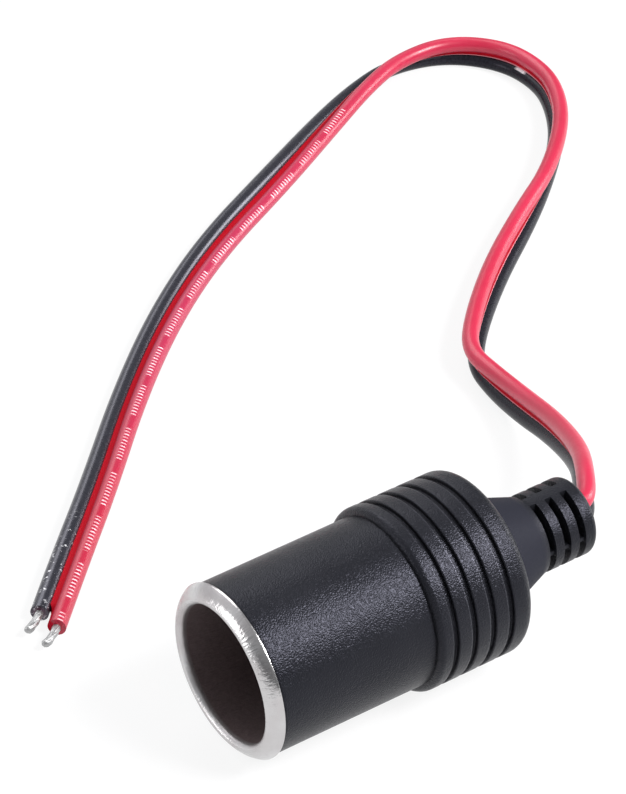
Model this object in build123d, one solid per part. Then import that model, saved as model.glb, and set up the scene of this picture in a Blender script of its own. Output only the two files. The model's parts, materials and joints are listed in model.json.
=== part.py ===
from build123d import *
import math
import os

# Inline 12 V power socket on a twin lead: a plated shell in a soft moulded body, with the contacts behind it
# and two bare-ended wires. Millimetres, +Z up.
#
# The socket is drawn on its own axis, X, from the rim's front (x = 0) back to the strain relief. It is then
# laid on the floor, z = 0, where it rests on its rim and its grip with the mouth towards -X. The origin is
# on the floor under the middle of the socket's length.

# Shell
bore_diameter = 21.0
bore_depth = 38.5            # rim's front to the shell's floor
shell_wall = 0.5
mouth_round = 0.9            # bore wall out to the rim's front, more than the wall
rim_diameter = 26.4
rim_round = 4.0              # across the rim's sloping face
slope_length = 1.75          # rim's front back to its skirt
rim_length = 2.0             # rim's front to the skirt's edge
floor_round = 2.0            # inside corner at the floor

# Moulded body
barrel_front_wall = 1.9      # over the shell, just behind the rim
barrel_rear_wall = 2.0       # over the shell, at the grip
rear_cover = 4.9             # shell's back to the grip's back
grip_height = 1.1            # grip above the barrel
groove_count = 4
groove_pitch = 3.2
groove_width = 0.9
groove_depth = 0.7
first_rib_width = 2.8        # grip's front to the first groove's middle
last_rib_width = 4.1         # last groove's middle to the grip's back
rib_round = 0.2
grip_back_round = 1.8
neck_root_diameter = 18.4
neck_root_round = 0.8
neck_length = 8.8
relief_diameter = 12.1
relief_round = 1.0
slot_count = 3
slot_pitch = 2.7
slot_width = 1.0
slot_depth = 1.9
slot_offset = 0.5            # neck's end to the first slot's middle
end_ring_width = 2.9         # last slot's middle to the relief's end
top_bridge_width = 2.2       # between the slots, above and below
side_bridge_width = 0.9      # between the slots, at both sides
side_bridge_drop = 0.45      # side bridges below the relief's surface
chamber_length = 10.5        # room for the tags, behind the shell
chamber_wall = 2.4           # neck around the chamber's back

# Contact stack
head_diameter = 8.4
head_thickness = 1.0
head_round = 0.4
flange_diameter = 11.0
flange_thickness = 0.9
spigot_diameter = 6.8
shank_diameter = 3.4
washer_diameter = 10.4
washer_thickness = 0.8
clinch_diameter = 4.0
clinch_thickness = 0.7
clinch_round = 0.4
tag_thickness = 0.5
tag_width = 2.4
tag_ring_diameter = 6.2
foot_margin = 0.5            # negative tag's foot inside the flat of the shell's back
foot_clearance = 0.4         # negative tag's foot outside the washer
step_clearance = 1.0         # negative tag's step behind the clinched end
tail_inset = 3.0             # chamber's back to the tags' ends
solder_diameter = 2.2
solder_length = 3.0
solder_round = 0.3
solder_film = 0.15           # between a wire and its tag's tail

# Twin lead
lead_diameter = 2.8
lead_pitch = 3.15            # between the two cores
conductor_diameter = 0.98
strip_inset = 2.0            # chamber's back to the insulation's inner end
wire_clearance = 0.5         # conductor's inner end behind the negative tag's step
tip_diameter = 1.4
tip_length = 4.5
tip_round = 0.4
black_short = 2.5            # black core's end before the red core's
lead_straight = 2.5          # straight out of the relief
lead_held = 2.8              # straight inside the relief

fit_gap = 0.05               # around whatever fits in a hole or a pocket
same_place = 1e-6            # two corners closer than this are one

# Route of the twin lead's middle beyond the relief: x, y, the height of the lower core's underside, and the
# turn of the red core from straight above the black one towards the left of travel, in degrees.
lead_route = [
    (37.8, 6.3, 11.9, -4), (43.8, 15.0, 8.6, 1), (48.5, 26.9, 4.8, -6), (51.1, 38.1, 1.7, -16),
    (52.9, 47.5, 0, -6), (54.0, 55.3, 0, 19), (60.2, 62.8, 0, 19), (72.8, 74.2, 0, 26),
    (87.2, 84.9, 0, 21), (97.9, 92.8, 0, -9), (109.2, 103.5, 0, -12), (115.9, 113.0, 0, -18),
    (119.5, 122.1, 0, -13), (118.8, 132.5, 0, -10), (111.3, 140.6, 0, 13), (100.3, 142.0, 0, 45),
    (90.2, 138.3, 0, 63), (78.6, 132.4, 0, 89), (60.2, 120.9, 0, 116), (39.2, 109.0, 0, 110),
    (21.8, 96.2, 0, 97), (4.4, 80.0, 0, 88), (-13.5, 60.7, 0, 96), (-27.0, 47.0, 0, 99),
    (-37.4, 36.2, 0, 94),
]

# Radii and stations that follow from the sizes
bore_radius = bore_diameter / 2
shell_radius = bore_radius + shell_wall
front_radius = bore_radius + mouth_round
rim_radius = rim_diameter / 2
floor_back = bore_depth + shell_wall
floor_back_round = floor_round + shell_wall
floor_flat_radius = shell_radius - floor_back_round

barrel_front_radius = shell_radius + barrel_front_wall
barrel_rear_radius = shell_radius + barrel_rear_wall
grip_radius = barrel_rear_radius + grip_height
grip_end = floor_back + rear_cover
last_groove = grip_end - last_rib_width
first_groove = last_groove - (groove_count - 1) * groove_pitch
grip_start = first_groove - first_rib_width
grip_top = grip_start + grip_height
neck_root_radius = neck_root_diameter / 2
relief_radius = relief_diameter / 2
neck_end = grip_end + neck_length
first_slot = neck_end + slot_offset
relief_end = first_slot + (slot_count - 1) * slot_pitch + end_ring_width
chamber_end = floor_back + chamber_length
neck_slope = (neck_root_radius - relief_radius) / neck_length
chamber_end_radius = neck_root_radius - neck_slope * (chamber_end - grip_end) - chamber_wall

flange_front = bore_depth - flange_thickness
head_front = flange_front - head_thickness
washer_back = floor_back + washer_thickness
tag_back = washer_back + tag_thickness
clinch_back = tag_back + clinch_thickness
core_height = lead_pitch / 2
conductor_radius = conductor_diameter / 2
tail_height = max(core_height + conductor_radius + solder_film, clinch_diameter / 2) + fit_gap
tail_end = chamber_end - tail_inset
step_front = clinch_back + step_clearance
step_back = step_front + tag_thickness
wire_start = step_back + wire_clearance
strip_end = chamber_end - strip_inset


def arc(start, end, center):
    """Part of a circle about center, the short way from start to end."""
    spoke = Vector(*start) - Vector(*center)
    other = Vector(*end) - Vector(*center)
    middle = Vector(*center) + (spoke + other).normalized() * spoke.length
    return ThreePointArc(start, middle, end)


def turned(*lines):
    """Solid turned about X from an outline of (x, radius) lines that runs once round."""
    return revolve(make_face(Curve() + list(lines)), axis=Axis.X)


def bar(start, end, diameter, height=0):
    """Round bar along X, its axis at the given height above the socket's axis."""
    return Pos((start + end) / 2, 0, height) * Rot(0, 90, 0) * Cylinder(diameter / 2, end - start)


def block(start, end, low, high, width):
    """Box from start to end along X and from low to high, centred across."""
    return Pos((start + end) / 2, 0, (low + high) / 2) * Box(end - start, width, high - low)


def slope_center():
    """Middle of the circle that the rim's sloping face follows, as a station and a radius."""
    slope = Vector(slope_length, rim_radius - front_radius)
    inward = Vector(slope.Y, -slope.X).normalized()
    depth = math.sqrt(rim_round ** 2 - (slope.length / 2) ** 2)
    return Vector(0, front_radius) + slope * 0.5 + inward * depth


rim_center = slope_center()


def rim_station(circle_radius, radius):
    """Station at which a circle about the rim's center reaches a radius."""
    return rim_center.X - math.sqrt(circle_radius ** 2 - (radius - rim_center.Y) ** 2)


def rim_height(circle_radius, station):
    """Radius that a circle about the rim's center has at a station."""
    return rim_center.Y + math.sqrt(circle_radius ** 2 - (station - rim_center.X) ** 2)


def make_shell():
    """Drawn cup with a hole in its floor and a lip that is turned out and back into the rim."""
    hole_radius = spigot_diameter / 2 + fit_gap
    inside = Polyline((floor_back, hole_radius), (bore_depth, hole_radius),
                      (bore_depth, bore_radius - floor_round))
    inside_corner = arc((bore_depth, bore_radius - floor_round), (bore_depth - floor_round, bore_radius),
                        (bore_depth - floor_round, bore_radius - floor_round))
    bore = Line((bore_depth - floor_round, bore_radius), (mouth_round, bore_radius))
    mouth = arc((mouth_round, bore_radius), (0, front_radius), (mouth_round, front_radius))
    slope = arc((0, front_radius), (slope_length, rim_radius), rim_center)
    under_round = rim_round - shell_wall
    under_front = (rim_station(under_round, front_radius), front_radius)
    under_back = (rim_length, rim_height(under_round, rim_length))
    skirt = Polyline((slope_length, rim_radius), (rim_length, rim_radius), under_back)
    underside = arc(under_back, under_front, rim_center)
    outside = Polyline(under_front, (mouth_round, shell_radius),
                       (floor_back - floor_back_round, shell_radius))
    outside_corner = arc((floor_back - floor_back_round, shell_radius), (floor_back, floor_flat_radius),
                         (floor_back - floor_back_round, floor_flat_radius))
    back = Line((floor_back, floor_flat_radius), (floor_back, hole_radius))
    return turned(inside, inside_corner, bore, mouth, slope, skirt, underside, outside, outside_corner, back)


def body_outline():
    """Half section of the body's outside, as a face above the axis."""
    nose_round = rim_round - shell_wall - fit_gap
    nose_front = (rim_station(nose_round, front_radius), front_radius)
    nose_foot = mouth_round + fit_gap
    shoulder = rim_length + fit_gap
    nose_back = (shoulder, rim_height(nose_round, shoulder))
    nose = arc(nose_front, nose_back, rim_center)
    barrel = Polyline(nose_back, (shoulder, barrel_front_radius), (grip_start, barrel_rear_radius))
    grip_front = arc((grip_start, barrel_rear_radius), (grip_top, grip_radius),
                     (grip_top, barrel_rear_radius))
    ribs = [(grip_top, grip_radius)]
    edges = []
    for i in range(groove_count):
        middle = first_groove + i * groove_pitch
        near, far = middle - groove_width / 2, middle + groove_width / 2
        edges += [near, far]
        ribs += [(near, grip_radius), (near, grip_radius - groove_depth),
                 (far, grip_radius - groove_depth), (far, grip_radius)]
    ribs.append((grip_end - grip_back_round, grip_radius))
    grip_back = arc(ribs[-1], (grip_end, grip_radius - grip_back_round),
                    (grip_end - grip_back_round, grip_radius - grip_back_round))
    neck = Polyline((grip_end, grip_radius - grip_back_round), (grip_end, neck_root_radius),
                    (neck_end, relief_radius), (relief_end - relief_round, relief_radius))
    relief_back = arc((relief_end - relief_round, relief_radius), (relief_end, relief_radius - relief_round),
                      (relief_end - relief_round, relief_radius - relief_round))
    axis_line = Polyline((relief_end, relief_radius - relief_round), (relief_end, 0), (nose_foot, 0),
                         (nose_foot, shell_radius), nose_front)
    face = make_face(Curve() + [nose, barrel, grip_front, Polyline(*ribs), grip_back, neck, relief_back,
                                axis_line])
    rib_corners = [v for v in face.vertices() if abs(v.Y - grip_radius) < same_place
                   and min(abs(v.X - edge) for edge in edges) < same_place]
    face = fillet(rib_corners, rib_round)
    neck_root = [v for v in face.vertices() if abs(v.X - grip_end) < same_place
                 and abs(v.Y - neck_root_radius) < same_place]
    return fillet(neck_root, neck_root_round)


def relief_slot(middle):
    """One ring of slots, cut between four bridges of which the side ones lie below the surface."""
    start, end = middle - slot_width / 2, middle + slot_width / 2
    floor_diameter = relief_diameter - 2 * slot_depth
    ring = bar(start, end, 2 * relief_diameter) - bar(start, end, floor_diameter)
    ring -= block(start, end, -2 * relief_diameter, 2 * relief_diameter, top_bridge_width)
    side_reach = relief_diameter - 2 * side_bridge_drop
    return ring - block(start, end, -side_bridge_width / 2, side_bridge_width / 2, side_reach)


def make_body():
    """Barrel, ribbed grip, neck and slotted strain relief, moulded as one sleeve over the shell and lead."""
    body = revolve(body_outline(), axis=Axis.X)
    pocket_radius = shell_radius + fit_gap
    pocket_back = floor_back + fit_gap
    pocket_corner = (pocket_back - floor_back_round, floor_flat_radius + fit_gap)
    pocket = turned(Polyline((pocket_back, floor_flat_radius + fit_gap), (pocket_back, 0), (0, 0),
                             (0, pocket_radius), (pocket_corner[0], pocket_radius)),
                    arc((pocket_corner[0], pocket_radius), (pocket_back, pocket_corner[1]), pocket_corner))
    chamber = turned(Polyline((floor_back, 0), (floor_back, floor_flat_radius),
                              (chamber_end, chamber_end_radius), (chamber_end, 0), close=True))
    body -= pocket
    body -= chamber
    for side in (-1, 1):
        body -= bar(chamber_end, relief_end, lead_diameter + 2 * fit_gap, side * core_height)
    web_width = lead_pitch - lead_diameter + 2 * fit_gap
    body -= block(chamber_end, relief_end, -core_height, core_height, web_width)
    for i in range(slot_count):
        body -= relief_slot(first_slot + i * slot_pitch)
    return body


def make_insulator():
    """Flanged bush that carries the centre contact in the shell's floor."""
    bush = bar(flange_front, bore_depth, flange_diameter) + bar(bore_depth, floor_back, spigot_diameter)
    return bush - bar(flange_front, floor_back, shank_diameter + 2 * fit_gap)


def make_contact():
    """Riveted centre contact: a broad head in the bore and a shank clinched over the positive tag."""
    head_radius = head_diameter / 2
    clinch_radius = clinch_diameter / 2
    shank_radius = shank_diameter / 2
    return turned(
        Polyline((head_front + head_round, head_radius), (flange_front, head_radius),
                 (flange_front, shank_radius), (tag_back, shank_radius), (tag_back, clinch_radius),
                 (clinch_back - clinch_round, clinch_radius)),
        arc((clinch_back - clinch_round, clinch_radius), (clinch_back, clinch_radius - clinch_round),
                (clinch_back - clinch_round, clinch_radius - clinch_round)),
        Polyline((clinch_back, clinch_radius - clinch_round), (clinch_back, 0), (head_front, 0),
                 (head_front, head_radius - head_round)),
        arc((head_front, head_radius - head_round), (head_front + head_round, head_radius),
                (head_front + head_round, head_radius - head_round)))


def make_washer():
    """Fibre washer between the shell's back and the positive tag."""
    washer = bar(floor_back, washer_back, washer_diameter)
    return washer - bar(floor_back, washer_back, shank_diameter + 2 * fit_gap)


def make_positive_tag():
    """Ring under the clinched end, with a tail bent back over the red wire."""
    tail = block(washer_back, tail_end, tail_height, tail_height + tag_thickness, tag_width)
    tag = bar(washer_back, tag_back, tag_ring_diameter) + tail
    return tag - bar(washer_back, tag_back, shank_diameter + 2 * fit_gap)


def make_negative_tag():
    """Strip welded to the shell's back, stepped in towards the axis to lie under the black wire."""
    foot_inner = washer_diameter / 2 + foot_clearance
    foot_outer = floor_flat_radius - foot_margin
    riser_outer = foot_inner + tag_thickness
    foot = block(floor_back, floor_back + tag_thickness, -foot_outer, -foot_inner, tag_width)
    riser = block(floor_back, step_back, -riser_outer, -foot_inner, tag_width)
    step = block(step_front, step_back, -riser_outer, -tail_height, tag_width)
    tail = block(step_front, tail_end, -tail_height - tag_thickness, -tail_height, tag_width)
    return foot + riser + step + tail


def make_solder(side):
    """Solder between a wire's end and its tag's tail: +1 for the positive one, -1 for the negative one."""
    middle = (wire_start + tail_end) / 2
    radius = solder_diameter / 2
    hole_radius = conductor_radius + fit_gap
    front, back = middle - solder_length / 2, middle + solder_length / 2
    shoulder = radius - solder_round
    height = side * core_height
    blob = Pos(0, 0, height) * turned(
        Polyline((back, shoulder), (back, hole_radius), (front, hole_radius), (front, shoulder)),
        arc((front, shoulder), (front + solder_round, radius), (front + solder_round, shoulder)),
        Line((front + solder_round, radius), (back - solder_round, radius)),
        arc((back - solder_round, radius), (back, shoulder), (back - solder_round, shoulder)))
    low, high = sorted((side * tail_height, side * (tail_height + solder_diameter)))
    return blob - block(front, back, low, high, 2 * solder_diameter)


def resting_place():
    """Where the socket lies: on its rim's edge and its grip's front, centred along its length."""
    along = grip_top - slope_length
    across = barrel_rear_radius - rim_radius
    tilt = math.atan2(across, along) + math.asin(grip_height / math.hypot(along, across))
    height = rim_radius * math.cos(tilt) - slope_length * math.sin(tilt)
    front = -front_radius * math.sin(tilt)
    corner_radius = relief_radius - relief_round
    back = (relief_end - relief_round) * math.cos(tilt) + corner_radius * math.sin(tilt) + relief_round
    return Pos(-(front + back) / 2, 0, height) * Rot(0, -math.degrees(tilt), 0)


socket_place = resting_place()


def on_axis(station, height=0):
    """A point of the socket, laid on the floor: a station along its axis and a height above it."""
    return (socket_place * Pos(station, 0, height)).position


def core_points(side, start, shortened):
    """Corners of one core's route: +1 for the red core, -1 for the black one."""
    points = [on_axis(start, side * core_height), on_axis(relief_end + lead_straight, side * core_height)]
    middle = [on_axis(relief_end + lead_straight)] + [Vector(x, y, 0) for x, y, _, _ in lead_route]
    for i, (x, y, lift, turn) in enumerate(lead_route):
        ahead = middle[min(i + 2, len(middle) - 1)]
        travel = Vector(ahead.X - middle[i].X, ahead.Y - middle[i].Y, 0).normalized()
        left = Vector(-travel.Y, travel.X, 0)
        rise = core_height * math.cos(math.radians(turn))
        sideways = left * core_height * math.sin(math.radians(turn))
        center = Vector(x, y, lift + lead_diameter / 2 + abs(rise))
        points.append(center + (sideways + Vector(0, 0, rise)) * side)
    last_run = points[-1] - points[-2]
    points[-1] -= last_run.normalized() * shortened
    return points


def corner_radii(points):
    """The largest arcs that the runs leave room for, one for each corner."""
    radii = []
    for before, corner, after in zip(points, points[1:], points[2:]):
        coming, going = corner - before, after - corner
        half_turn = math.radians(coming.get_angle(going)) / 2
        radii.append(0.45 * min(coming.length, going.length) / math.tan(half_turn))
    return radii


def round_bar_along(path, diameter, hole_diameter=0):
    """Round section swept along a path, hollow if a hole is given."""
    section = Circle(diameter / 2)
    if hole_diameter:
        section -= Circle(hole_diameter / 2)
    return sweep(Plane(origin=path @ 0, z_dir=path % 0) * section, path=path)


def make_core(name, side, shortened):
    """Insulation and conductor of one core, on one path."""
    held = relief_end - lead_held
    points = core_points(side, held, shortened)
    radii = corner_radii(points)
    runs = [(b - a).length for a, b in zip(points, points[1:])]
    print(name, "radii", [round(r, 1) for r in radii])
    print(name, "runs", [round(r, 1) for r in runs])
    hole_diameter = conductor_diameter + 2 * fit_gap
    path = FilletPolyline(on_axis(strip_end, side * core_height), *points[1:], radius=radii)
    insulation = round_bar_along(path, lead_diameter, hole_diameter)
    section = math.pi / 4 * (lead_diameter ** 2 - hole_diameter ** 2)
    print(name, "insulation", round(path.length, 2), "long, volume", round(insulation.volume, 3),
          "section x length", round(section * path.length, 3))
    outward = (points[-1] - points[-2]).normalized()
    wire_path = FilletPolyline(on_axis(wire_start, side * core_height), *points[1:], radius=radii)
    tip = Cylinder(tip_diameter / 2, tip_length, align=(Align.CENTER, Align.CENTER, Align.MIN))
    tip = fillet(tip.edges().group_by(Axis.Z)[-1], tip_round)
    conductor = round_bar_along(wire_path, conductor_diameter)
    conductor += Plane(origin=points[-1], z_dir=outward) * tip
    free = path.length - (relief_end - strip_end)
    print(name, "free length", round(free, 1), "end", [round(v, 4) for v in points[-1]],
          "direction", [round(v, 5) for v in outward])
    return insulation, conductor


red_lead, red_conductor = make_core("red", 1, 0)
black_lead, black_conductor = make_core("black", -1, black_short)

nodes = {
    "moulded_body": socket_place * make_body(),
    "socket_shell": socket_place * make_shell(),
    "contact_insulator": socket_place * make_insulator(),
    "centre_contact": socket_place * make_contact(),
    "insulating_washer": socket_place * make_washer(),
    "positive_tag": socket_place * make_positive_tag(),
    "negative_tag": socket_place * make_negative_tag(),
    "positive_solder": socket_place * make_solder(1),
    "negative_solder": socket_place * make_solder(-1),
    "red_lead": red_lead,
    "black_lead": black_lead,
    "red_conductor": red_conductor,
    "black_conductor": black_conductor,
}

os.makedirs("parts", exist_ok=True)
for name, shape in nodes.items():
    export_step(shape, f"parts/{name}.step")

bore_length = bore_depth - floor_round - mouth_round
bore_middle = on_axis(mouth_round + bore_length / 2)
outward = (on_axis(0) - bore_middle).normalized()
print("bore middle", [round(v, 4) for v in bore_middle], "direction", [round(v, 6) for v in outward],
      "length", round(bore_length, 3))
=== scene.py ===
import json
import math

import bmesh
import bpy
import numpy as np
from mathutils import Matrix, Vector


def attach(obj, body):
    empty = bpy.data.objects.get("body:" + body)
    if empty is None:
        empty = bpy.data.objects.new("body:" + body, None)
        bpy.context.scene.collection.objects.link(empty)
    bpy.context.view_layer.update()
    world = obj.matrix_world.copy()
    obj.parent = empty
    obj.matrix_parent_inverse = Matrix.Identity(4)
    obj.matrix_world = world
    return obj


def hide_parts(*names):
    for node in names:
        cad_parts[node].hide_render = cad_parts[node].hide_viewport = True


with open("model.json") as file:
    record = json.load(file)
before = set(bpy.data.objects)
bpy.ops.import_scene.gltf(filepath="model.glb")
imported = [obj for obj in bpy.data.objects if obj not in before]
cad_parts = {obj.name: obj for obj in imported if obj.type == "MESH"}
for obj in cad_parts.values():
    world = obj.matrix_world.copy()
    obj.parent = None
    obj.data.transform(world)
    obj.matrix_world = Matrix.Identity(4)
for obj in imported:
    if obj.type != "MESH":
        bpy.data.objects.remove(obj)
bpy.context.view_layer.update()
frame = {"nodes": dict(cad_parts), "record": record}

# An inline 12 V socket on a twin lead. Sizes are in millimetres. Stations run along the socket's axis from
# the rim's front, and the plug bore's mount places everything in the frame, in metres.
MM = 0.001

# Shell
bore_radius = 10.5
shell_radius = 11.0
mouth_round = 0.9            # bore wall out to the rim's front
front_radius = 11.4
rim_radius = 13.2
rim_round = 4.0              # across the rim's sloping face
slope_length = 1.75
rim_length = 2.0
rim_edge_round = 0.1
underside_front = 0.57       # station where the rim's underside goes over to the cup
shell_wall = 0.5
bore_depth = 38.5
floor_back = 39.0
floor_round = 2.0
floor_back_round = 2.5
floor_hole_radius = 3.45
floor_join_radius = 6.0      # where the outline closes, on the floor's back
floor_join_gap = 0.1
bore_middle = 18.7           # where the plug bore's mount is stated

# Moulded body
fit_gap = 0.05
nose_front = 0.63            # station where the nose under the rim ends
shoulder_round = 0.15
shoulder_lip = 0.2
barrel_front_radius = 12.9
barrel_rear_radius = 13.0
grip_start = 27.4
grip_end = 43.9
grip_radius = 14.1
grip_back_round = 1.8
groove_middles = (30.2, 33.4, 36.6, 39.8)
groove_pitch = groove_middles[1] - groove_middles[0]
groove_width = 0.9
groove_depth = 0.7
groove_round = 0.22
groove_floor_round = 0.12
neck_root_radius = 9.2
neck_root_round = 0.8
neck_end = 52.7
neck_end_round = 3.0
relief_radius = 6.05
relief_end = 61.5
relief_round = 1.0
slot_middles = (53.2, 55.9, 58.6)
slot_width = 1.0
slot_depth = 1.9
top_bridge_width = 2.2
side_bridge_width = 0.9
side_bridge_drop = 0.45
slot_edge = 0.1              # half the width over which a slot's edge is rounded off
pocket_floor_round = 2.55
chamber_start_radius = 8.5
chamber_end = 49.5
chamber_end_radius = 4.8

# Twin lead
lead_radius = 1.4
lead_hole_radius = 0.54
lead_pitch = 3.15
core_height = lead_pitch / 2
conductor_radius = 0.49
strip_end = 47.5             # insulation's inner end
wire_start = 43.0            # conductor's inner end
lead_straight = 2.5
black_short = 2.5            # black core's end before the red core's
web_half_thickness = 0.85
web_overlap = 0.02           # web's reach into the black core's skin
torn_web = 4.0               # web is torn off this far from the red core's end
torn_length = 1.5            # over which the web runs out

# Bare tips. Shares are of the tip's length, twists are in radians over it.
tip_radius = 0.62
tip_length = 4.5
tip_lean = 0.18              # how far a tip bends to the side, as a share
tip_start = 0.02             # share at the first section beyond the insulation
tip_taper = 0.05
swell_height = 0.10          # of the solder near the end, over the tip's radius
swell_middle = 0.86
swell_reach = 0.13
strand_count = 7
strand_height = 0.045
strand_twist = 5.2 * math.pi
strand_fade = 0.6            # how much of the strands has gone under the solder at the end
broad_lump = 0.03
broad_lump_twist = 7
small_lump = 0.02
small_lump_twist = 11
round_start = 0.9            # share where the end starts to round off
blunt_end = 0.997            # how far the rounding runs, one being a point
red_twist = 0.4
black_twist = 2.1

# Route of the twin lead's middle beyond the relief: x, y, the height of the lower core's underside, and the
# turn of the red core from straight above the black one towards the left of travel, in degrees.
lead_route = [
    (37.8, 6.3, 11.9, -4), (43.8, 15.0, 8.6, 1), (48.5, 26.9, 4.8, -6), (51.1, 38.1, 1.7, -16),
    (52.9, 47.5, 0, -6), (54.0, 55.3, 0, 19), (60.2, 62.8, 0, 19), (72.8, 74.2, 0, 26),
    (87.2, 84.9, 0, 21), (97.9, 92.8, 0, -9), (109.2, 103.5, 0, -12), (115.9, 113.0, 0, -18),
    (119.5, 122.1, 0, -13), (118.8, 132.5, 0, -10), (111.3, 140.6, 0, 13), (100.3, 142.0, 0, 45),
    (90.2, 138.3, 0, 63), (78.6, 132.4, 0, 89), (60.2, 120.9, 0, 116), (39.2, 109.0, 0, 110),
    (21.8, 96.2, 0, 97), (4.4, 80.0, 0, 88), (-13.5, 60.7, 0, 96), (-27.0, 47.0, 0, 99),
    (-37.4, 36.2, 0, 94),
]

# How finely the meshes are divided
route_steps = 20             # between two control points of the lead's route
skin_points = 34             # around a core, but for its web
web_points = 9
wire_points = 42
bare_sections = 46
corner_steps = 8
rim_points = 14
turned_columns = 320
barrel_rings = 12
barrel_ring_margin = 1.0
slot_edge_rings = (-1.6, -1, -0.6, -0.2, 0.2, 0.6, 1, 1.6)     # in units of slot_edge
mouth_rings = np.linspace(0.4, 3.2, 8)
bore_rings = np.linspace(5, 35, 7)
same_place = 1e-4            # points of an outline nearer than this are one
station_gap = 1e-3           # least distance of an added station from its neighbours
on_axis = 1e-6               # a smaller radius counts as none

# Camera
eye = (-232.4, -316.15, 318.45)
view_turn = 34.5             # from +Y towards +X, in degrees
view_drop = 34.6             # below the horizon, in degrees
focal_pixels = 3500
image_height = 794
sensor_size = 36
nearest_seen = 0.01          # metres

# Looks. Scales of noise are in cells per metre, depths of relief in metres, and colours linear. A pair holds
# the two ends of a range.
noise_range = (0.3, 0.7)     # most of a noise lies in it
soft_edge = 0.3              # of a marked place, as a share of its reach

# Looks of the body
body_tones = ((0.0064, 0.0068, 0.0086), (0.0098, 0.0102, 0.0126))
neck_tone = (0.0165, 0.017, 0.0235)
body_sheen = (0.80, 0.80, 1, 1)
body_tone_scale = 90
grain_scale = 4900
coarse_grain_scale = 2200
coarse_grain_share = 0.35
grain_depth = 0.00009
grain_strength = (0.8, 0.12)           # elsewhere, and on the neck
body_roughness = (0.30, 0.39)
neck_roughness_added = 0.21
body_gloss = (0.20, 0.65)              # elsewhere, and at a rib's worn edge
neck_gloss_share = 0.28
rim_shade = (0.1, 1)                   # share of the gloss close behind the rim, and clear of it
rim_shade_stations = (rim_length + 0.1, rim_length + 0.55)
neck_front_stations = (grip_end - 0.4, grip_end + 0.3)
neck_back_stations = (neck_end - 1.5, neck_end)
worn_edge_offset = 0.1                 # worn line's middle in front of a groove
worn_edge_reach = 0.16
worn_grip_reach = 1.6 * groove_pitch   # from the middle of the grooves

# Looks of the shell
rim_tones = ((0.48, 0.45, 0.455), (0.59, 0.585, 0.59))
# painted shade: the bore's darker brownish tones stand for the shade deep inside the cup, on a duller bore
# wall
bore_shade_tones = ((0.145, 0.106, 0.108), (0.185, 0.142, 0.142))
rim_tone_scale = 160
scuff_scale = 1700
scuff_range = (0.35, 0.65)
scuff_depth = 0.00007
scuff_strength = 0.5
brush_marks = 45                       # per radian around the rim
brush_height = (2.3, 0.15)             # against the scuffs, on the rim's slope and at its edge
brush_fade_radii = (rim_radius - 0.7, rim_radius - 0.2)
rim_roughness = (0.17, 0.27)
lip_roughness = (0.48, 0.1)            # at the bore's wall, and at the rim's front
bore_roughness = 0.55
bore_metallic = 0.6
bore_stations = (0.55, 1.4)            # where the bore's look sets in
bore_radii = (bore_radius + 0.05, bore_radius + 0.3)

# Looks of the two cores. Stretches are distances along a core, and angles are degrees around it from the
# way towards the other core.
red_tones = ((0.39, 0.0112, 0.040), (0.44, 0.016, 0.052))
deeper_red = (0.322, 0.0165, 0.057)
fuller_red = (0.34, 0.0075, 0.028)
# painted shade: the web and the red core's flank towards the black one, darkened as the shaded valley between
# the cores
valley_shade_red = (0.345, 0.004, 0.012)
# painted highlight: a pale line along the web's edge where it meets the black core
edge_highlight_pink = (0.85, 0.45, 0.52)
tick_white = (0.88, 0.66, 0.70)
cut_red = (0.40, 0.010, 0.03)
black_tones = ((0.008, 0.008, 0.0115), (0.012, 0.012, 0.0165))
# white of the nicks near the black core's end, and of a painted highlight beside the red core
nick_and_glint_white = (0.80, 0.80, 0.82)
cut_black = (0.075, 0.02, 0.04)
black_sheen = (0.86, 0.85, 1, 1)
skin_scale = 1800
red_tone_scale = 120
red_change = (0, 0.8)                  # how far the red goes over to the deeper and the fuller one
deeper_stretch = (190.0, 270.0)
fuller_stretch = (305.0, 350.0)
# painted shade of the valley between the cores reaches from the web out to these angles
valley_shade_angles = (38.0, 52.0)
# painted highlight along the web's edge, where it meets the black core
edge_highlight_angle = 28.0
edge_highlight_reach = 3.0
edge_highlight_end_stretch = (215.0, 235.0)
edge_highlight_strength = 0.45
red_gloss = (0.5, 0.02)                # on the core, and on the web
red_roughness = (0.28, 0.40)
red_skin_depth = 0.00003
red_skin_strength = 0.05
black_gloss = (0.17, 0.8)
black_gloss_stretch = (190.0, 230.0)
black_roughness = (0.24, 0.32)
black_skin_depth = 0.00005
black_skin_strength = 0.12
black_skin_share = 0.3                 # of the skin's relief against that of the nicks
nick_scale = 1250
nick_range = (0.60, 0.65)
nicks_start = 26                       # from the black core's end
nicks_full = 6
glint_along = 176.0                   # painted white highlight on the black core, beside the red one
glint_along_reach = 1.3
glint_angle = 40.0
glint_angle_reach = 12.0

# Ticks on the red core, in place of print
tick_angle = 107.0
tick_angle_reach = 17.0
ticks_per_mm = 1.25
tick_share = 0.36                      # of a tick's pitch
groups_per_mm = 0.085
group_share = 0.74                     # of a group's pitch
ticks_start = 222.0
tick_wear_scale = 1400
tick_wear_range = (0.32, 0.6)
tick_strength = (0.25, 0.8)

# Looks of the fibre and of the metals' relief
fibre_tones = ((0.030, 0.018, 0.012), (0.060, 0.034, 0.022))
fibre_scale = 1600
fibre_roughness = (0.5, 0.75)
fibre_gloss = 0.3
fibre_strength = 0.25
metal_strength = 0.35
mottle_depth = 0.00005

# Surroundings, in metres
floor_reach = 2.0
floor_grey = (0.84, 0.84, 0.85, 1)
floor_glow_share = 0.86
sky_colour = (0.97, 0.98, 1, 1)
sky_rise = (0, 0.9)                    # from the horizon up
sky_strength = (0.12, 0.42)
bright_side = (-0.55, 0.84)            # x and y of the way to the brighter side, behind on the left
bright_range = (0.2, 0.85)
bright_strength = (0.02, 0.62)
light_aim = (0.02, 0.03, 0.01)

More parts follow.
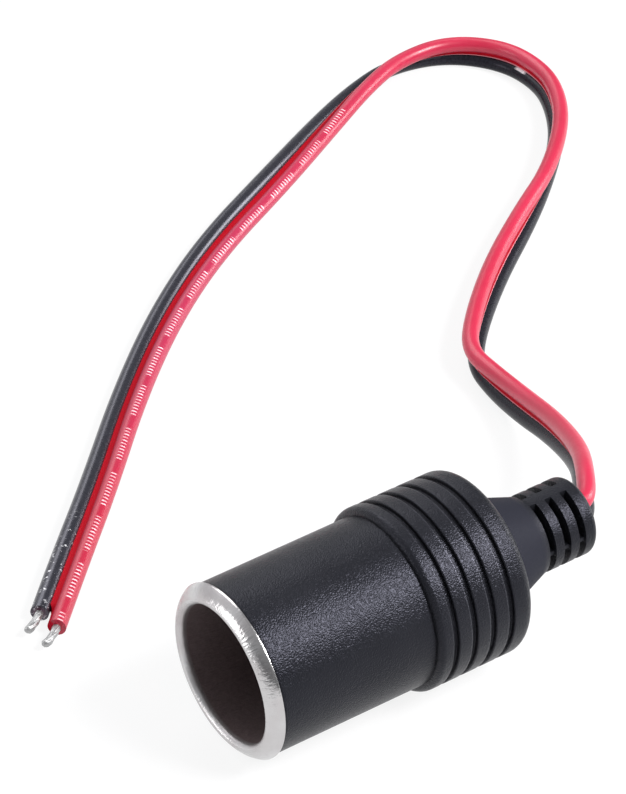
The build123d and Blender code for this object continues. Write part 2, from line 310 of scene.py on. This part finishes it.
# Where the socket lies in the frame
bore_mount = next(m for m in frame["record"]["mounts"] if m["name"] == "plug_bore")
axis_back = -Vector(bore_mount["axis"]).normalized()
axis_side = Vector((0, 1, 0))
axis_up = axis_back.cross(axis_side)
rim_front = Vector(bore_mount["pos_m"]) - axis_back * bore_middle * MM


def place(x, side=0, up=0):
    """A point of the socket in the frame: its station, and how far it is to the axis's side and above it."""
    return rim_front + (axis_back * x + axis_side * side + axis_up * up) * MM


def set_camera():
    """Camera at the photograph's angle."""
    data = bpy.data.cameras.new("camera")
    data.sensor_width = sensor_size
    data.lens = focal_pixels / image_height * sensor_size
    data.clip_start = nearest_seen
    camera = bpy.data.objects.new("camera", data)
    camera.location = Vector(eye) * MM
    camera.rotation_euler = (math.radians(90 - view_drop), 0, math.radians(-view_turn))
    bpy.context.scene.collection.objects.link(camera)
    bpy.context.scene.camera = camera


def link_mesh(name, vertices, faces, sharp_angle):
    """Object of a mesh with its faces turned outwards, smooth but for edges sharper than the angle."""
    mesh = bpy.data.meshes.new(name)
    mesh.from_pydata(vertices, [], faces)
    shape = bmesh.new()
    shape.from_mesh(mesh)
    bmesh.ops.recalc_face_normals(shape, faces=shape.faces)
    for face in shape.faces:
        face.smooth = True
    for edge in shape.edges:
        edge.smooth = edge.calc_face_angle(math.pi) < math.radians(sharp_angle)
    shape.to_mesh(mesh)
    shape.free()
    piece = bpy.data.objects.new(name, mesh)
    bpy.context.scene.collection.objects.link(piece)
    return piece


def add_values(piece, name, values):
    """A number for each vertex of a piece, for its material to read."""
    layer = piece.data.attributes.new(name, "FLOAT", "POINT")
    layer.data.foreach_set("value", np.asarray(values, np.float32))


def ring_faces(first, second, count):
    """Quads between two rings of vertices, by the numbers of their first vertices."""
    return [(first + i, first + (i + 1) % count, second + (i + 1) % count, second + i) for i in range(count)]


def smooth_step(value):
    """Zero to one, with a soft start and end."""
    value = np.clip(value, 0, 1)
    return value * value * (3 - 2 * value)


# The twin lead

def route_points(side, shortened):
    """Control points of one core: +1 for the red core, -1 for the black one."""
    height = side * core_height
    points = [place(x, 0, height) for x in (strip_end, relief_end, relief_end + lead_straight)]
    start = place(relief_end + lead_straight) / MM
    middle = [start.xy] + [Vector((x, y)) for x, y, _, _ in lead_route]
    for i, (x, y, lift, turn) in enumerate(lead_route):
        travel = (middle[min(i + 2, len(middle) - 1)] - middle[i]).normalized()
        rise = core_height * math.cos(math.radians(turn))
        sideways = core_height * math.sin(math.radians(turn)) * side
        points.append(Vector((x - travel.y * sideways, y + travel.x * sideways,
                              lift + lead_radius + abs(rise) + rise * side)) * MM)
    points[-1] -= (points[-1] - points[-2]).normalized() * shortened * MM
    return points


def spline_line(points):
    """Points along the smooth curve that has the given control points."""
    curve = bpy.data.curves.new("route", "CURVE")
    curve.dimensions = "3D"
    curve.resolution_u = route_steps
    spline = curve.splines.new("NURBS")
    spline.points.add(len(points) - 1)
    for control, point in zip(spline.points, points):
        control.co = (*point, 1)
    spline.order_u = 3
    spline.use_endpoint_u = True
    carrier = bpy.data.objects.new("route", curve)
    mesh = bpy.data.meshes.new_from_object(carrier)
    line = np.array([vertex.co for vertex in mesh.vertices])
    bpy.data.meshes.remove(mesh)
    bpy.data.objects.remove(carrier)
    bpy.data.curves.remove(curve)
    return line


def unit(vectors):
    """Each row of an array, made one long."""
    return vectors / np.linalg.norm(vectors, axis=1)[:, None]


def along_line(line):
    """Distance along a line at each of its points, in millimetres."""
    steps = np.linalg.norm(np.diff(line, axis=0), axis=1)
    return np.concatenate([[0], np.cumsum(steps)]) / MM


def section_axes(line, other):
    """At each point of a line, the way towards the other line and the way across it."""
    travel = unit(np.gradient(line, axis=0))
    towards = other - line
    towards = unit(towards - travel * np.sum(towards * travel, axis=1)[:, None])
    return towards, np.cross(travel, towards)


def sweep(name, line, towards, across, outlines, sharp_angle):
    """Closed tube of cross-sections along a line. An outline holds, for each point of the line, the section's
    points as distances towards the other line and across; a second outline is the wall of a hole."""
    rings = [line[:, None, :] + towards[:, None, :] * u[:, :, None] * MM
             + across[:, None, :] * v[:, :, None] * MM for u, v in outlines]
    vertices = np.concatenate([ring.reshape(-1, 3) for ring in rings]).tolist()
    count, sides = outlines[0][0].shape
    last = (count - 1) * sides
    faces = []
    for first in range(0, len(vertices), count * sides):
        for i in range(count - 1):
            faces += ring_faces(first + i * sides, first + (i + 1) * sides, sides)
    if len(outlines) == 2:
        hole = count * sides
        faces += ring_faces(0, hole, sides) + ring_faces(last, hole + last, sides)
    else:
        faces += [tuple(range(sides)), tuple(range(last, last + sides))]
    return link_mesh(name, vertices, faces, sharp_angle)


def round_sections(radius, angles, count):
    """The same circle for each of a count of sections."""
    return np.tile(radius * np.cos(angles), (count, 1)), np.tile(radius * np.sin(angles), (count, 1))


def make_insulation(name, line, other, web):
    """Hollow tube along a line. With a web, its side towards the other core is drawn out to meet it."""
    edge = math.asin(web_half_thickness / lead_radius)
    angles = np.concatenate([np.linspace(edge, 2 * math.pi - edge, skin_points),
                             np.linspace(-edge, edge, web_points)[1:-1]])
    u, v = round_sections(lead_radius, angles, len(line))
    if web:
        in_web = np.arange(len(angles)) >= skin_points
        bridge = np.where(in_web, lead_pitch - 2 * u[0] + web_overlap, 0)
        torn = smooth_step((along_line(line) - along_line(line)[-1] + torn_web) / torn_length)
        u = u + bridge[None, :] * (1 - torn)[:, None]
    hole = round_sections(lead_hole_radius, angles, len(line))
    towards, across = section_axes(line, other)
    piece = sweep(name, line, towards, across, [(u, v), hole], sharp_angle=50)
    distance = np.repeat(along_line(line), len(angles))
    skin = np.ones(len(distance))
    add_values(piece, "along", np.concatenate([distance, distance]))
    add_values(piece, "around", np.tile(np.degrees(np.arccos(np.cos(angles))), 2 * len(line)))
    add_values(piece, "across", np.tile(np.sin(angles), 2 * len(line)))
    add_values(piece, "skin", np.concatenate([skin, 0 * skin]))
    return piece


def tip_radii(share, angles, twist_start):
    """Radii of a bare tip's twisted and tinned strands, by share of its length and angle."""
    swell = swell_height * np.exp(-((share - swell_middle) / swell_reach) ** 2)
    core = tip_radius * (1 + swell - tip_taper * share)
    strands = np.cos(strand_count * angles - twist_start - strand_twist * share)
    strands = strand_height * strands * (1 - strand_fade * share)
    lumps = broad_lump * np.cos(2 * angles + broad_lump_twist * share + twist_start)
    lumps = lumps + small_lump * np.cos(3 * angles - small_lump_twist * share)
    rounded = np.clip((share - round_start) / (1 - round_start), 0, blunt_end)
    return (core + strands + lumps) * np.sqrt(1 - rounded ** 2)


def make_conductor(name, line, other, twist_start, lean):
    """Core of strands along a line, with its bare end twisted, tinned and leaning a little to one side."""
    angles = np.arange(wire_points) * 2 * math.pi / wire_points
    towards, across = section_axes(line, other)
    ahead = unit(line[-1:] - line[-2:-1])
    behind = unit(line[:1] - line[1:2])
    bare = np.linspace(tip_start, 1, bare_sections)[:, None] * tip_length
    bare_line = line[-1:] + (ahead * bare + towards[-1:] * lean * bare ** 2 / tip_length) * MM
    line = np.concatenate([line[:1] + behind * (strip_end - wire_start) * MM, line, bare_line])
    towards = np.concatenate([towards[:1], towards, np.repeat(towards[-1:], bare_sections, axis=0)])
    across = np.concatenate([across[:1], across, np.repeat(across[-1:], bare_sections, axis=0)])
    radii = np.full((len(line), wire_points), conductor_radius)
    radii[-bare_sections:] = tip_radii(bare / tip_length, angles, twist_start)
    outline = (radii * np.cos(angles), radii * np.sin(angles))
    return sweep(name, line, towards, across, [outline], sharp_angle=70)


# Turned pieces of the socket

def rounded_outline(corners):
    """Outline of (station, radius) points with each corner rounded by a true arc of its own radius."""
    points = []
    for i, (x, r, rounding) in enumerate(corners):
        corner = Vector((x, r))
        if rounding == 0:
            points.append(corner)
            continue
        before = (Vector(corners[i - 1][:2]) - corner).normalized()
        after = (Vector(corners[i + 1][:2]) - corner).normalized()
        half_turn = (math.pi - before.angle(after)) / 2
        reach = rounding * math.tan(half_turn)
        arc_start, arc_end = corner + before * reach, corner + after * reach
        weight = math.cos(half_turn)
        for k in range(corner_steps + 1):
            t = k / corner_steps
            parts = ((1 - t) ** 2, 2 * weight * t * (1 - t), t ** 2)
            total = arc_start * parts[0] + corner * parts[1] + arc_end * parts[2]
            points.append(total / sum(parts))
    kept = [points[0]]
    for point in points[1:]:
        if (point - kept[-1]).length > same_place:
            kept.append(point)
    return kept


def with_stations(outline, stations):
    """The outline with points added where its straight stretches pass the given stations."""
    points = [outline[0]]
    for a, b in zip(outline, outline[1:]):
        low, high = sorted((a.x, b.x))
        inside = [s for s in stations if low + station_gap < s < high - station_gap]
        inside.sort(reverse=b.x < a.x)
        points += [a.lerp(b, (s - a.x) / (b.x - a.x)) for s in inside]
        points.append(b)
    return points


def turned_piece(name, outline, closed, sharp_angle, depth=None):
    """Mesh turned about the socket's axis. A depth function cuts into it by station and angle."""
    columns = turned_columns
    angles = np.arange(columns) * 2 * math.pi / columns
    vertices, starts = [], []
    for x, r in outline:
        starts.append(len(vertices))
        if r < on_axis:
            vertices.append(place(x))
            continue
        cut = depth(x, r, angles) if depth else np.zeros(columns)
        for angle, radius in zip(angles, r - cut):
            vertices.append(place(x, radius * math.sin(angle), radius * math.cos(angle)))
    faces = []
    pairs = list(zip(range(len(outline)), range(1, len(outline))))
    if closed:
        pairs.append((len(outline) - 1, 0))
    for a, b in pairs:
        if outline[a].y < on_axis:
            faces += [(starts[a], starts[b] + (i + 1) % columns, starts[b] + i) for i in range(columns)]
        elif outline[b].y < on_axis:
            faces += [(starts[a] + i, starts[a] + (i + 1) % columns, starts[b]) for i in range(columns)]
        else:
            faces += ring_faces(starts[a], starts[b], columns)
    piece = link_mesh(name, vertices, faces, sharp_angle)
    counts = np.diff(starts + [len(vertices)])
    add_values(piece, "station", np.repeat([p.x for p in outline], counts))
    add_values(piece, "distance", np.repeat([p.y for p in outline], counts))
    return piece


def slot_cut(x, r, angles):
    """How deep the strain relief is cut at a station, at each angle from straight up."""
    nearest = min(abs(x - middle) for middle in slot_middles)
    if nearest > slot_width / 2 + slot_edge:
        return np.zeros(len(angles))
    ring = 1 - smooth_step(np.array((nearest - slot_width / 2 + slot_edge) / (2 * slot_edge)))
    beside_top = np.abs(r * np.sin(angles)) - top_bridge_width / 2
    beside_side = np.abs(r * np.cos(angles)) - side_bridge_width / 2
    open_top = smooth_step((beside_top + slot_edge) / (2 * slot_edge))
    open_side = smooth_step((beside_side + slot_edge) / (2 * slot_edge))
    return ring * open_top * (side_bridge_drop + (slot_depth - side_bridge_drop) * open_side)


def slope_center():
    """Middle of the circle that the rim's sloping face follows, as a station and a radius."""
    slope = Vector((slope_length, rim_radius - front_radius))
    inward = Vector((slope.y, -slope.x)).normalized()
    height = math.sqrt(rim_round ** 2 - slope.length_squared / 4)
    return Vector((0, front_radius)) + slope / 2 + inward * height


def rim_arc(circle_radius, first, last):
    """Points on a circle about the rim's middle, from one station to another."""
    center = slope_center()
    turns = [math.acos((center.x - station) / circle_radius) for station in (first, last)]
    return [center + circle_radius * Vector((-math.cos(t), math.sin(t)))
            for t in np.linspace(turns[0], turns[1], rim_points)]


def body_outside(shoulder):
    """Corners of the body's outside, from the strain relief's end to the shoulder behind the rim."""
    corners = [(relief_end, 0, 0), (relief_end, relief_radius, relief_round),
               (neck_end, relief_radius, neck_end_round), (grip_end, neck_root_radius, neck_root_round),
               (grip_end, grip_radius, grip_back_round)]
    groove_floor = grip_radius - groove_depth
    for middle in reversed(groove_middles):
        rear, front = middle + groove_width / 2, middle - groove_width / 2
        corners += [(rear, grip_radius, groove_round), (rear, groove_floor, groove_floor_round),
                    (front, groove_floor, groove_floor_round), (front, grip_radius, groove_round)]
    grip_front_round = grip_radius - barrel_rear_radius
    corners += [(grip_start, grip_radius, grip_front_round), (grip_start, barrel_rear_radius, 0),
                (shoulder, barrel_front_radius, shoulder_round),
                (shoulder, barrel_front_radius - shoulder_lip, 0)]
    return corners


def make_body():
    """Moulded sleeve: barrel, ribbed grip, neck and slotted strain relief around the shell's pocket."""
    pocket_radius = shell_radius + fit_gap
    pocket_floor = floor_back + fit_gap
    shoulder = rim_length + fit_gap
    nose = rim_arc(rim_round - shell_wall - fit_gap, shoulder, nose_front)
    inside = [(mouth_round + fit_gap, pocket_radius, 0), (pocket_floor, pocket_radius, pocket_floor_round),
              (pocket_floor, chamber_start_radius, 0), (chamber_end, chamber_end_radius, 0),
              (chamber_end, 0, 0)]
    offsets = [slot_width / 2 + slot_edge * k for k in slot_edge_rings]
    stations = [m + s * o for m in slot_middles for o in offsets for s in (-1, 1)] + list(slot_middles)
    barrel_stretch = (shoulder + barrel_ring_margin, grip_start - barrel_ring_margin)
    stations += list(np.linspace(*barrel_stretch, barrel_rings))
    outline = rounded_outline(body_outside(shoulder)) + nose + rounded_outline(inside)
    return turned_piece("moulded_body_skin", with_stations(outline, stations), closed=False, sharp_angle=55,
                        depth=slot_cut)


def make_shell():
    """Plated cup with its lip turned out and back into a sloping rim."""
    slope = rim_arc(rim_round, 0, slope_length)
    underside = rim_arc(rim_round - shell_wall, rim_length, underside_front)
    inside = [(floor_back, floor_join_radius, 0), (floor_back, floor_hole_radius, 0),
              (bore_depth, floor_hole_radius, 0), (bore_depth, bore_radius, floor_round),
              (0, bore_radius, mouth_round), slope[0][:] + (0,)]
    skirt = [slope[-1][:] + (0,), (rim_length, rim_radius, rim_edge_round), underside[0][:] + (0,)]
    outside = [(mouth_round, shell_radius, 0), (floor_back, shell_radius, floor_back_round),
               (floor_back, floor_join_radius + floor_join_gap, 0)]
    outline = rounded_outline(inside) + slope[1:-1] + rounded_outline(skirt)
    outline += underside[1:] + rounded_outline(outside)
    stations = [*mouth_rings, *bore_rings]
    return turned_piece("socket_shell_plated", with_stations(outline, stations), closed=True, sharp_angle=40)


# Materials

def node(tree, kind, inputs=None, **settings):
    """A shader node. Each input is a number, a colour or another node's output."""
    made = tree.nodes.new(kind)
    for name, value in settings.items():
        setattr(made, name, value)
    for name, value in (inputs or {}).items():
        if isinstance(value, bpy.types.NodeSocket):
            tree.links.new(value, made.inputs[name])
        else:
            made.inputs[name].default_value = value
    return made


def input_name(key):
    """A shader input's name from a plain one, such as Base Color from base_color."""
    return key.replace("_", " ").title().replace("Ior", "IOR")


def new_material(name, **constants):
    """Material with a principled shader, its constant inputs set by name."""
    material = bpy.data.materials.new(name)
    material.use_nodes = True
    tree = material.node_tree
    shader = tree.nodes["Principled BSDF"]
    for key, value in constants.items():
        shader.inputs[input_name(key)].default_value = value
    return material, tree, shader


def drive(tree, shader, **sources):
    """Other nodes' outputs linked to the shader's inputs by name."""
    for key, source in sources.items():
        tree.links.new(source, shader.inputs[input_name(key)])


def attribute(tree, name):
    """A number that the piece holds at each vertex."""
    return node(tree, "ShaderNodeAttribute", attribute_name=name).outputs["Fac"]


def coordinates(tree, kind="Object"):
    """Coordinates of the shaded point."""
    return node(tree, "ShaderNodeTexCoord").outputs[kind]


def components(tree, vector):
    """A vector's X, Y and Z."""
    return node(tree, "ShaderNodeSeparateXYZ", {"Vector": vector}).outputs


def noise(tree, scale, detail=2, roughness=0.5):
    """Noise in the frame's own coordinates, at a scale in cells per metre."""
    return node(tree, "ShaderNodeTexNoise", {"Vector": coordinates(tree), "Scale": scale, "Detail": detail,
                                             "Roughness": roughness}).outputs["Fac"]


def compute(tree, operation, first, second=0.0):
    """Arithmetic on two values."""
    return node(tree, "ShaderNodeMath", {0: first, 1: second}, operation=operation).outputs[0]


def product(tree, first, *others):
    """All the values multiplied."""
    for value in others:
        first = compute(tree, "MULTIPLY", first, value)
    return first


def spread(tree, value, source, target=(0.0, 1.0)):
    """A value carried over from one range to another, and held at its ends."""
    return node(tree, "ShaderNodeMapRange", {"Value": value, "From Min": source[0], "From Max": source[1],
                                             "To Min": target[0], "To Max": target[1]}).outputs["Result"]


def fading(tree, value, source):
    """One below a range, falling to zero across it."""
    return spread(tree, value, source, (1, 0))


def near(tree, value, middle, reach):
    """One where a value is near a middle, zero beyond its reach, with a soft edge."""
    away = compute(tree, "ABSOLUTE", compute(tree, "SUBTRACT", value, middle))
    return fading(tree, away, ((1 - soft_edge) * reach, (1 + soft_edge) * reach))


def mixed(tree, factor, first, second):
    """Colour between two others."""
    made = node(tree, "ShaderNodeMix", {"Factor": factor}, data_type="RGBA")
    for socket, value in ((made.inputs[6], first), (made.inputs[7], second)):
        if isinstance(value, bpy.types.NodeSocket):
            tree.links.new(value, socket)
        else:
            socket.default_value = (*value, 1)
    return made.outputs[2]


def mottled(tree, pattern, tones):
    """Colour that goes from one tone to another with a noise."""
    return mixed(tree, spread(tree, pattern, noise_range), *tones)


def bump(tree, shader, height, strength, distance):
    """Fine relief from a height."""
    made = node(tree, "ShaderNodeBump", {"Height": height, "Strength": strength, "Distance": distance})
    drive(tree, shader, normal=made.outputs["Normal"])


def worn_rib_edges(tree, station):
    """One on the line in front of each groove of the grip, zero elsewhere."""
    first_start = groove_middles[0] - groove_pitch / 2
    turns = compute(tree, "DIVIDE", compute(tree, "SUBTRACT", station, first_start), groove_pitch)
    past_middle = compute(tree, "SUBTRACT", compute(tree, "FRACT", turns), 0.5)
    past_groove = product(tree, past_middle, groove_pitch)
    edge = near(tree, past_groove, -groove_width / 2 - worn_edge_offset, worn_edge_reach)
    grip_middle = sum(groove_middles) / len(groove_middles)
    return product(tree, edge, near(tree, station, grip_middle, worn_grip_reach))


def body_material():
    """Black moulded PVC with a fine spark-eroded grain, smoother on the neck and worn at the ribs' edges."""
    material, tree, shader = new_material("body_pvc", specular_tint=body_sheen)
    grain = noise(tree, grain_scale, detail=0)
    coarse = noise(tree, coarse_grain_scale, detail=1)
    station = attribute(tree, "station")
    neck = product(tree, spread(tree, station, neck_front_stations),
                   fading(tree, station, neck_back_stations))
    gloss = product(tree, spread(tree, worn_rib_edges(tree, station), (0, 1), body_gloss),
                    spread(tree, neck, (0, 1), (1, neck_gloss_share)),
                    spread(tree, station, rim_shade_stations, rim_shade))
    black = mottled(tree, noise(tree, body_tone_scale, detail=3), body_tones)
    rough = compute(tree, "ADD", spread(tree, grain, noise_range, body_roughness),
                    product(tree, neck, neck_roughness_added))
    drive(tree, shader, base_color=mixed(tree, neck, black, neck_tone), roughness=rough,
          specular_ior_level=gloss)
    height = compute(tree, "ADD", grain, product(tree, coarse, coarse_grain_share))
    bump(tree, shader, height, spread(tree, neck, (0, 1), grain_strength), grain_depth)
    return material


def brushed_rim(tree):
    """Brush marks that run across the rim, fading towards its edge."""
    station, distance = attribute(tree, "station"), attribute(tree, "distance")
    point = components(tree, coordinates(tree))
    angle = compute(tree, "ARCTAN2", point["Y"], compute(tree, "SUBTRACT", point["Z"], rim_front.z))
    across_rim = node(tree, "ShaderNodeCombineXYZ", {"X": product(tree, angle, brush_marks), "Y": distance,
                                                     "Z": station}).outputs[0]
    marks = node(tree, "ShaderNodeTexNoise", {"Vector": across_rim, "Scale": 1.0, "Detail": 3}).outputs["Fac"]
    return product(tree, marks, spread(tree, distance, brush_fade_radii, brush_height))


def nickel_material():
    """Brushed nickel on the rim, going over to a duller bore that is painted darker as the shade deep inside
    it.
    """
    material, tree, shader = new_material("nickel_plate")
    station, distance = attribute(tree, "station"), attribute(tree, "distance")
    inside = product(tree, spread(tree, station, bore_stations), fading(tree, distance, bore_radii))
    scuffs = noise(tree, scuff_scale, detail=3, roughness=0.65)
    bright = mottled(tree, noise(tree, rim_tone_scale), rim_tones)
    # painted shade of the deep bore, laid over the bore's duller finish
    bore_shade = mottled(tree, scuffs, bore_shade_tones)
    shine = spread(tree, scuffs, scuff_range, rim_roughness)
    lip = product(tree, spread(tree, distance, (bore_radius, front_radius), lip_roughness),
                  compute(tree, "LESS_THAN", station, rim_length))
    dull = compute(tree, "MAXIMUM", lip, product(tree, inside, bore_roughness))
    drive(tree, shader, base_color=mixed(tree, inside, bright, bore_shade),
          roughness=compute(tree, "MAXIMUM", shine, dull),
          metallic=spread(tree, inside, (0, 1), (1, bore_metallic)))
    bump(tree, shader, compute(tree, "ADD", scuffs, brushed_rim(tree)), scuff_strength, scuff_depth)
    return material


def part_of_pitch(tree, along, per_mm, share):
    """One in the first share of each pitch along a core, zero in the rest."""
    return compute(tree, "LESS_THAN", compute(tree, "FRACT", product(tree, along, per_mm)), share)


def printed_ticks(tree, along, around):
    """Plain white ticks along the red core's upper side, in groups."""
    upper = compute(tree, "LESS_THAN", attribute(tree, "across"), 0.0)
    band = product(tree, near(tree, around, tick_angle, tick_angle_reach), upper)
    tick = part_of_pitch(tree, along, ticks_per_mm, tick_share)
    group = part_of_pitch(tree, along, groups_per_mm, group_share)
    stretch = compute(tree, "GREATER_THAN", along, ticks_start)
    worn = spread(tree, noise(tree, tick_wear_scale, detail=3), tick_wear_range, tick_strength)
    return product(tree, tick, group, band, stretch, worn)


def cut_face(tree):
    """One at the wall of a core's hole, zero on its skin, so that its cut end goes from one to the other."""
    return compute(tree, "SUBTRACT", 1.0, attribute(tree, "skin"))


def red_material():
    """Crimson PVC, smooth and half glossy, deeper then fuller towards its end. Its web and the core's flank
    beside it are painted darker as the shade of the valley between the cores, with a painted pale highlight
    where the web meets the black core."""
    material, tree, shader = new_material("red_pvc")
    skin = noise(tree, skin_scale, detail=3)
    along, around = attribute(tree, "along"), attribute(tree, "around")
    # painted shade of the valley between the cores, on the web and the core's flank beside it
    web = fading(tree, around, valley_shade_angles)
    # painted highlight: a pale line on the web's edge beside the black core
    edge_highlight = product(tree, near(tree, around, edge_highlight_angle, edge_highlight_reach), fading(tree, along, edge_highlight_end_stretch))
    red = mottled(tree, noise(tree, red_tone_scale, detail=3), red_tones)
    for factor, tone in ((spread(tree, along, deeper_stretch, red_change), deeper_red),
                         (spread(tree, along, fuller_stretch, red_change), fuller_red),
                         (web, valley_shade_red),
                         (product(tree, edge_highlight, edge_highlight_strength), edge_highlight_pink),
                         (printed_ticks(tree, along, around), tick_white),
                         (cut_face(tree), cut_red)):
        red = mixed(tree, factor, red, tone)
    drive(tree, shader, base_color=red, roughness=spread(tree, skin, noise_range, red_roughness),
          specular_ior_level=spread(tree, web, (0, 1), red_gloss))
    bump(tree, shader, skin, red_skin_strength, red_skin_depth)
    return material


def black_material(end):
    """Black PVC, glossier towards its cut end and nicked near it, with a white highlight painted on in one
    place.
    """
    material, tree, shader = new_material("black_pvc", specular_tint=black_sheen)
    skin = noise(tree, skin_scale, detail=3)
    along, around = attribute(tree, "along"), attribute(tree, "around")
    nicks = spread(tree, noise(tree, nick_scale, detail=4, roughness=0.7), nick_range)
    worn = product(tree, nicks, spread(tree, along, (end - nicks_start, end - nicks_full)))
    # painted highlight: a white glint on the black core beside the red one
    glint = product(tree, near(tree, along, glint_along, glint_along_reach),
                     near(tree, around, glint_angle, glint_angle_reach))
    black = mottled(tree, skin, black_tones)
    black = mixed(tree, compute(tree, "MAXIMUM", worn, glint), black, nick_and_glint_white)
    black = mixed(tree, cut_face(tree), black, cut_black)
    drive(tree, shader, base_color=black, roughness=spread(tree, skin, noise_range, black_roughness),
          specular_ior_level=spread(tree, along, black_gloss_stretch, black_gloss))
    height = compute(tree, "SUBTRACT", product(tree, skin, black_skin_share), worn)
    bump(tree, shader, height, black_skin_strength, black_skin_depth)
    return material


def metal_material(name, scale, tones, roughness):
    """Metal of two mottled tones."""
    material, tree, shader = new_material(name, metallic=1.0)
    mottle = noise(tree, scale, detail=4, roughness=0.6)
    drive(tree, shader, base_color=mottled(tree, mottle, tones),
          roughness=spread(tree, mottle, noise_range, roughness))
    bump(tree, shader, mottle, metal_strength, mottle_depth)
    return material


def fibre_material():
    """Brown pressed fibre."""
    material, tree, shader = new_material("insulator_fibre", specular_ior_level=fibre_gloss)
    fleck = noise(tree, fibre_scale, detail=4, roughness=0.7)
    drive(tree, shader, base_color=mottled(tree, fleck, fibre_tones),
          roughness=spread(tree, fleck, noise_range, fibre_roughness))
    bump(tree, shader, fleck, fibre_strength, mottle_depth)
    return material


# Surroundings

def make_floor():
    """Pale floor that shows white to the eye and in reflections, and keeps the object's shadow."""
    mesh = bpy.data.meshes.new("floor")
    corners = [(x * floor_reach, y * floor_reach, 0) for x, y in ((-1, -1), (1, -1), (1, 1), (-1, 1))]
    mesh.from_pydata(corners, [], [(0, 1, 2, 3)])
    floor = bpy.data.objects.new("floor", mesh)
    bpy.context.scene.collection.objects.link(floor)
    material = bpy.data.materials.new("floor")
    material.use_nodes = True
    tree = material.node_tree
    path = node(tree, "ShaderNodeLightPath").outputs
    mirrored = compute(tree, "MAXIMUM", path["Is Glossy Ray"], path["Is Transmission Ray"])
    seen = compute(tree, "MAXIMUM", path["Is Camera Ray"], mirrored)
    matte = node(tree, "ShaderNodeBsdfDiffuse", {"Color": floor_grey})
    glow = node(tree, "ShaderNodeEmission", {"Color": (1, 1, 1, 1), "Strength": 1.0})
    mix = node(tree, "ShaderNodeMixShader", {0: product(tree, seen, floor_glow_share), 1: matte.outputs[0],
                                             2: glow.outputs[0]})
    tree.links.new(mix.outputs[0], tree.nodes["Material Output"].inputs["Surface"])
    mesh.materials.append(material)


def make_world():
    """Soft grey surroundings, brighter above and behind the object on its left."""
    world = bpy.data.worlds.new("studio")
    bpy.context.scene.world = world
    world.use_nodes = True
    tree = world.node_tree
    way = components(tree, coordinates(tree, "Generated"))
    above = spread(tree, way["Z"], sky_rise, sky_strength)
    leftward = compute(tree, "ADD", product(tree, way["X"], bright_side[0]),
                       product(tree, way["Y"], bright_side[1]))
    behind = spread(tree, leftward, bright_range, bright_strength)
    background = tree.nodes["Background"]
    background.inputs["Color"].default_value = sky_colour
    tree.links.new(compute(tree, "ADD", above, behind), background.inputs["Strength"])


def add_light(name, spot, size, power):
    """Square soft light that looks at the object."""
    data = bpy.data.lights.new(name, "AREA")
    data.size = size
    data.energy = power
    light = bpy.data.objects.new(name, data)
    light.location = spot
    light.rotation_euler = (Vector(light_aim) - Vector(spot)).to_track_quat("-Z", "Y").to_euler()
    bpy.context.scene.collection.objects.link(light)


def make_lights():
    """A soft light to the right of the camera, low ones on the left and the right, and a high one behind."""
    add_light("key", (0.38, -0.50, 0.66), size=0.34, power=13.4)
    add_light("left", (-0.73, 0.33, 0.23), size=0.28, power=1.3)
    add_light("back", (0.08, 0.70, 0.75), size=0.72, power=4.6)
    add_light("right", (0.95, -0.12, 0.24), size=0.40, power=4.4)


# The scene
set_camera()
red_line = spline_line(route_points(1, 0))
black_line = spline_line(route_points(-1, black_short))
black_end = along_line(black_line)[-1]
red_lead = make_insulation("red_insulation", red_line, black_line, web=True)
black_lead = make_insulation("black_insulation", black_line, red_line, web=False)
red_conductor = make_conductor("red_strands", red_line, black_line, red_twist, tip_lean)
black_conductor = make_conductor("black_strands", black_line, red_line, black_twist, -tip_lean)
body = make_body()
shell = make_shell()

tinned = metal_material("tinned_copper", scale=2600, tones=((0.32, 0.32, 0.325), (0.47, 0.47, 0.47)),
                        roughness=(0.42, 0.58))
brass = metal_material("contact_brass", scale=900, tones=((0.42, 0.31, 0.14), (0.56, 0.43, 0.21)),
                       roughness=(0.25, 0.42))
solder = metal_material("solder", scale=1200, tones=((0.40, 0.40, 0.41), (0.56, 0.56, 0.57)),
                        roughness=(0.35, 0.55))
fibre = fibre_material()

# Each new piece, its material, the node that it stands for and that node's slot
for piece, material, cad_node, slot in (
        (body, body_material(), "moulded_body", "body_pvc"),
        (shell, nickel_material(), "socket_shell", "nickel_plate"),
        (red_lead, red_material(), "red_lead", "red_pvc"),
        (black_lead, black_material(black_end), "black_lead", "black_pvc"),
        (red_conductor, tinned, "red_conductor", "tinned_copper"),
        (black_conductor, tinned, "black_conductor", "tinned_copper")):
    piece.data.materials.append(material)
    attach(piece, "root")
    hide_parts(cad_node)

# The pieces inside, which keep their solids
for cad_node, material in (("contact_insulator", fibre), ("insulating_washer", fibre),
                           ("centre_contact", brass), ("positive_tag", brass), ("negative_tag", brass),
                           ("positive_solder", solder), ("negative_solder", solder)):
    mesh = frame["nodes"][cad_node].data
    mesh.materials.clear()
    mesh.materials.append(material)

make_floor()
make_world()
make_lights()
bpy.context.scene.view_settings.view_transform = "Standard"
